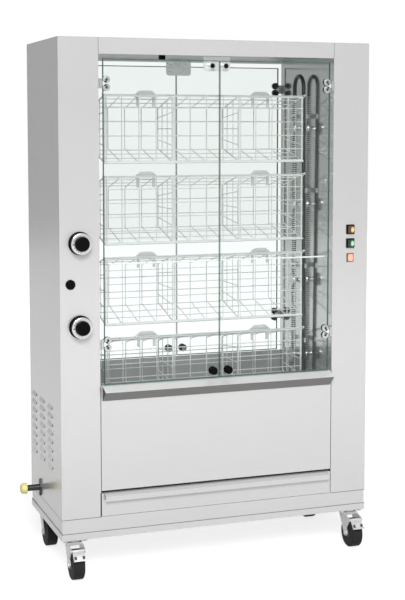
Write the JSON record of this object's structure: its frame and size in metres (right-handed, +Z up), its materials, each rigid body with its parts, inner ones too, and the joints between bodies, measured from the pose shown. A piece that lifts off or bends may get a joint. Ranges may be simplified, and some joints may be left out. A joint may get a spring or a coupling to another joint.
{
  "type": "rotisserie grill",
  "caption": "Free-standing gas rotisserie grill with driven wire baskets behind glass doors, two drawers and braked castors.",
  "frame": {"origin": "bottom centre of the whole part's box, on the floor", "axes": "+Z up, -Y towards the front doors, +X towards the switch column"},
  "size_m": [1.166, 0.5362, 1.77],
  "materials": {
    "amber_lens": "amber translucent plastic",
    "black_plastic": "black plastic",
    "brass": "brass valve bodies",
    "bright_steel": "bright steel",
    "brushed_sheet": "brushed stainless sheet",
    "burner_steel": "heat-darkened steel tube",
    "cast_black": "black painted steel",
    "glass": "clear toughened glass",
    "green_lens": "green translucent plastic",
    "knob_black": "black plastic with a bright dial ring",
    "motor_paint": "painted gearmotor housing",
    "polished_sheet": "polished stainless sheet",
    "wheel_rubber": "black rubber tyre on a plastic hub",
    "wire": "polished stainless wire",
    "yellow_plastic": "yellow plastic",
    "zinc": "zinc-plated pressed steel"
  },
  "bodies": {
    "cabinet": {"base_frame": "brushed_sheet", "burner_clips": "bright_steel", "burner_tubes": "burner_steel", "cable_gland": "black_plastic", "castor_plates": "zinc", "ceiling_panel": "polished_sheet", "door_stops": "bright_steel", "door_switch": "black_plastic", "drawer_runners": "bright_steel", "drawer_shelf": "brushed_sheet", "drive_chain": "bright_steel", "gas_pipework": "cast_black", "gas_valves": "brass", "gear_motor": "motor_paint", "headers": "brushed_sheet", "hinge_brackets": "bright_steel", "inlet_cap": "yellow_plastic", "inner_walls": "polished_sheet", "left_column": "brushed_sheet", "plinth": "brushed_sheet", "rear_lower_panel": "brushed_sheet", "right_column": "brushed_sheet", "spindle_bearings": "bright_steel", "switch_bodies": "black_plastic", "top_cover": "brushed_sheet"},
    "front_left_door": {"front_left_glass": "glass", "front_left_fittings": "bright_steel"},
    "front_right_door": {"front_right_glass": "glass", "front_right_fittings": "bright_steel"},
    "rear_left_door": {"rear_left_glass": "glass", "rear_left_fittings": "bright_steel"},
    "rear_right_door": {"rear_right_glass": "glass", "rear_right_fittings": "bright_steel"},
    "deep_drawer": {"deep_drawer_front": "brushed_sheet", "deep_drawer_pan": "brushed_sheet"},
    "lower_drawer": {"lower_drawer": "brushed_sheet"},
    "basket_1": {"basket_1_cage": "wire"},
    "basket_2": {"basket_2_cage": "wire"},
    "basket_3": {"basket_3_cage": "wire"},
    "basket_4": {"basket_4_cage": "wire"},
    "motor_sprocket": {"motor_sprocket": "bright_steel"},
    "basket_1_lid": {"basket_1_lid": "wire"},
    "basket_2_lid": {"basket_2_lid": "wire"},
    "basket_3_lid": {"basket_3_lid": "wire"},
    "basket_4_lid": {"basket_4_lid": "wire"},
    "upper_gas_knob": {"upper_gas_knob": "knob_black"},
    "lower_gas_knob": {"lower_gas_knob": "knob_black"},
    "igniter_button": {"igniter_button": "black_plastic"},
    "light_rocker": {"light_rocker": "amber_lens"},
    "motor_rocker": {"motor_rocker": "green_lens"},
    "front_left_castor_fork": {"front_left_fork": "zinc"},
    "front_left_castor_wheel": {"front_left_wheel": "wheel_rubber"},
    "front_left_brake_pedal": {"front_left_brake_pedal": "zinc"},
    "front_right_castor_fork": {"front_right_fork": "zinc"},
    "front_right_castor_wheel": {"front_right_wheel": "wheel_rubber"},
    "front_right_brake_pedal": {"front_right_brake_pedal": "zinc"},
    "rear_left_castor_fork": {"rear_left_fork": "zinc"},
    "rear_left_castor_wheel": {"rear_left_wheel": "wheel_rubber"},
    "rear_right_castor_fork": {"rear_right_fork": "zinc"},
    "rear_right_castor_wheel": {"rear_right_wheel": "wheel_rubber"}
  },
  "joints": [
    {"name": "front_left_door_hinge", "type": "hinge", "parent": "cabinet", "child": "front_left_door", "pos_m": [-0.377, -0.21389, 1.6225], "axis": [0, 0, -1], "range_deg": [0, 110]},
    {"name": "front_right_door_hinge", "type": "hinge", "parent": "cabinet", "child": "front_right_door", "pos_m": [0.443, -0.21389, 1.6225], "axis": [0, 0, 1], "range_deg": [0, 110]},
    {"name": "rear_left_door_hinge", "type": "hinge", "parent": "cabinet", "child": "rear_left_door", "pos_m": [-0.377, 0.25111, 1.6225], "axis": [0, 0, 1], "range_deg": [0, 110]},
    {"name": "rear_right_door_hinge", "type": "hinge", "parent": "cabinet", "child": "rear_right_door", "pos_m": [0.443, 0.25111, 1.6225], "axis": [0, 0, -1], "range_deg": [0, 110]},
    {"name": "deep_drawer_slide", "type": "slide", "parent": "cabinet", "child": "deep_drawer", "axis": [0, -1, 0], "range_m": [0, 0.34]},
    {"name": "lower_drawer_slide", "type": "slide", "parent": "cabinet", "child": "lower_drawer", "axis": [0, -1, 0], "range_m": [0, 0.34]},
    {"name": "basket_1_spin", "type": "hinge", "parent": "cabinet", "child": "basket_1", "pos_m": [0.033, 0.01861, 0.6579], "axis": [1, 0, 0], "continuous": true, "deforming": ["drive_chain"]},
    {"name": "basket_2_spin", "type": "hinge", "parent": "cabinet", "child": "basket_2", "pos_m": [0.033, 0.01861, 0.93095], "axis": [1, 0, 0], "continuous": true},
    {"name": "basket_3_spin", "type": "hinge", "parent": "cabinet", "child": "basket_3", "pos_m": [0.033, 0.01861, 1.204], "axis": [1, 0, 0], "continuous": true},
    {"name": "basket_4_spin", "type": "hinge", "parent": "cabinet", "child": "basket_4", "pos_m": [0.033, 0.01861, 1.47705], "axis": [1, 0, 0], "continuous": true},
    {"name": "motor_spin", "type": "hinge", "parent": "cabinet", "child": "motor_sprocket", "pos_m": [0.48, 0.01861, 0.4039], "axis": [1, 0, 0], "continuous": true},
    {"name": "basket_1_lid_hinge", "type": "hinge", "parent": "basket_1", "child": "basket_1_lid", "pos_m": [0.033, -0.07989, 0.7734], "axis": [-1, 0, 0], "range_deg": [0, 25]},
    {"name": "basket_2_lid_hinge", "type": "hinge", "parent": "basket_2", "child": "basket_2_lid", "pos_m": [0.033, -0.07989, 1.04645], "axis": [-1, 0, 0], "range_deg": [0, 25]},
    {"name": "basket_3_lid_hinge", "type": "hinge", "parent": "basket_3", "child": "basket_3_lid", "pos_m": [0.033, -0.07989, 1.3195], "axis": [-1, 0, 0], "range_deg": [0, 25]},
    {"name": "basket_4_lid_hinge", "type": "hinge", "parent": "basket_4", "child": "basket_4_lid", "pos_m": [0.033, -0.07989, 1.59255], "axis": [-1, 0, 0], "range_deg": [0, 25]},
    {"name": "upper_gas_knob_turn", "type": "hinge", "parent": "cabinet", "child": "upper_gas_knob", "pos_m": [-0.45, -0.20889, 1.109], "axis": [0, -1, 0], "range_deg": [0, 240]},
    {"name": "lower_gas_knob_turn", "type": "hinge", "parent": "cabinet", "child": "lower_gas_knob", "pos_m": [-0.45, -0.20889, 0.8365], "axis": [0, -1, 0], "range_deg": [0, 240]},
    {"name": "igniter_push", "type": "slide", "parent": "cabinet", "child": "igniter_button", "axis": [0, 1, 0], "range_m": [0, 0.005], "stiffness_N_per_m": 400, "springref_m": -0.002},
    {"name": "light_rocker_tilt", "type": "hinge", "parent": "cabinet", "child": "light_rocker", "pos_m": [0.517, -0.21089, 1.129], "axis": [1, 0, 0], "range_deg": [0, 20]},
    {"name": "motor_rocker_tilt", "type": "hinge", "parent": "cabinet", "child": "motor_rocker", "pos_m": [0.517, -0.21089, 1.081], "axis": [1, 0, 0], "range_deg": [0, 20]},
    {"name": "front_left_castor_swivel", "type": "hinge", "parent": "cabinet", "child": "front_left_castor_fork", "pos_m": [-0.47, -0.16939, 0.1195], "axis": [0, 0, 1], "continuous": true},
    {"name": "front_left_wheel_roll", "type": "hinge", "parent": "front_left_castor_fork", "child": "front_left_castor_wheel", "pos_m": [-0.47, -0.20739, 0.05], "axis": [1, 0, 0], "continuous": true},
    {"name": "front_left_brake_press", "type": "hinge", "parent": "front_left_castor_fork", "child": "front_left_brake_pedal", "pos_m": [-0.47, -0.23238, 0.10123], "axis": [1, 0, 0], "range_deg": [0, 5]},
    {"name": "front_right_castor_swivel", "type": "hinge", "parent": "cabinet", "child": "front_right_castor_fork", "pos_m": [0.536, -0.16939, 0.1195], "axis": [0, 0, 1], "continuous": true},
    {"name": "front_right_wheel_roll", "type": "hinge", "parent": "front_right_castor_fork", "child": "front_right_castor_wheel", "pos_m": [0.536, -0.20739, 0.05], "axis": [1, 0, 0], "continuous": true},
    {"name": "front_right_brake_press", "type": "hinge", "parent": "front_right_castor_fork", "child": "front_right_brake_pedal", "pos_m": [0.536, -0.23238, 0.10123], "axis": [1, 0, 0], "range_deg": [0, 5]},
    {"name": "rear_left_castor_swivel", "type": "hinge", "parent": "cabinet", "child": "rear_left_castor_fork", "pos_m": [-0.47, 0.20661, 0.1195], "axis": [0, 0, 1], "continuous": true},
    {"name": "rear_left_wheel_roll", "type": "hinge", "parent": "rear_left_castor_fork", "child": "rear_left_castor_wheel", "pos_m": [-0.47, 0.16861, 0.05], "axis": [1, 0, 0], "continuous": true},
    {"name": "rear_right_castor_swivel", "type": "hinge", "parent": "cabinet", "child": "rear_right_castor_fork", "pos_m": [0.536, 0.20661, 0.1195], "axis": [0, 0, 1], "continuous": true},
    {"name": "rear_right_wheel_roll", "type": "hinge", "parent": "rear_right_castor_fork", "child": "rear_right_castor_wheel", "pos_m": [0.536, 0.16861, 0.05], "axis": [1, 0, 0], "continuous": true}
  ],
  "couplings": [
    {"joint": "basket_2_spin", "follows": "basket_1_spin", "ratio": 1},
    {"joint": "basket_3_spin", "follows": "basket_1_spin", "ratio": 1},
    {"joint": "basket_4_spin", "follows": "basket_1_spin", "ratio": 1},
    {"joint": "motor_spin", "follows": "basket_1_spin", "ratio": 1}
  ]
}
